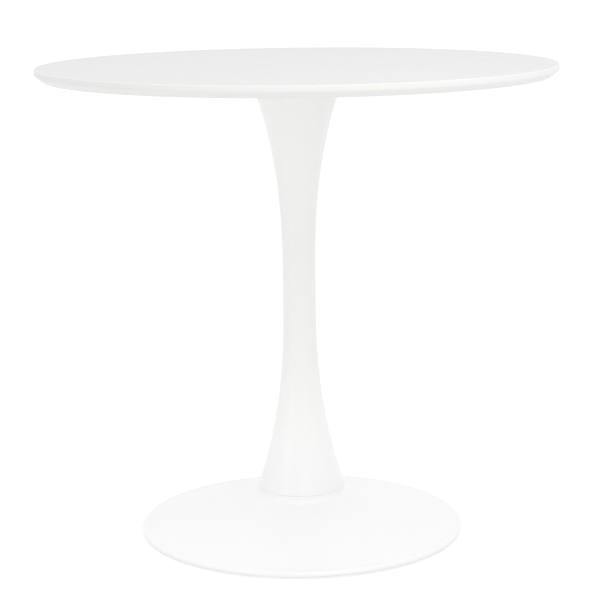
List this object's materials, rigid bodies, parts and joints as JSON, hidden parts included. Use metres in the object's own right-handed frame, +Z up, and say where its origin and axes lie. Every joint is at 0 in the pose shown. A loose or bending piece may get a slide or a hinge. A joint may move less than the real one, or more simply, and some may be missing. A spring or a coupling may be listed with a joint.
{
  "type": "round pedestal table",
  "caption": "Round table: a thin top, bevelled under its edge, on one trumpet-shaped central column that stands on a shallow round dish base.",
  "frame": {"origin": "on the floor, under the middle of the table", "axes": "+Z up along the column and the tie rod; X and Y are level and alike, with one mounting screw on +X"},
  "size_m": [0.8, 0.8, 0.74],
  "materials": {
    "white_lacquer": "satin white lacquer on fibreboard",
    "white_powder_coat": "smooth satin white powder coat on sheet steel",
    "zinc_plate": "bright zinc plate",
    "bare_steel": "oiled bare steel",
    "grey_rubber": "matt soft plastic strip"
  },
  "bodies": {
    "root": {"tabletop": "white_lacquer", "column_shell": "white_powder_coat", "base_pan": "white_powder_coat", "mounting_plate": "white_powder_coat", "plate_hub": "zinc_plate", "column_top_disc": "bare_steel", "column_foot_disc": "bare_steel", "tie_rod": "zinc_plate", "clamp_plate": "bare_steel", "flat_washer": "zinc_plate", "spring_washer": "zinc_plate", "hex_nut": "zinc_plate", "floor_ring": "grey_rubber", "top_insert_1": "zinc_plate", "top_insert_2": "zinc_plate", "top_insert_3": "zinc_plate", "top_insert_4": "zinc_plate", "top_insert_5": "zinc_plate", "top_insert_6": "zinc_plate", "plate_screw_1": "zinc_plate", "plate_screw_2": "zinc_plate", "plate_screw_3": "zinc_plate", "plate_screw_4": "zinc_plate", "plate_screw_5": "zinc_plate", "plate_screw_6": "zinc_plate"}
  },
  "joints": []
}
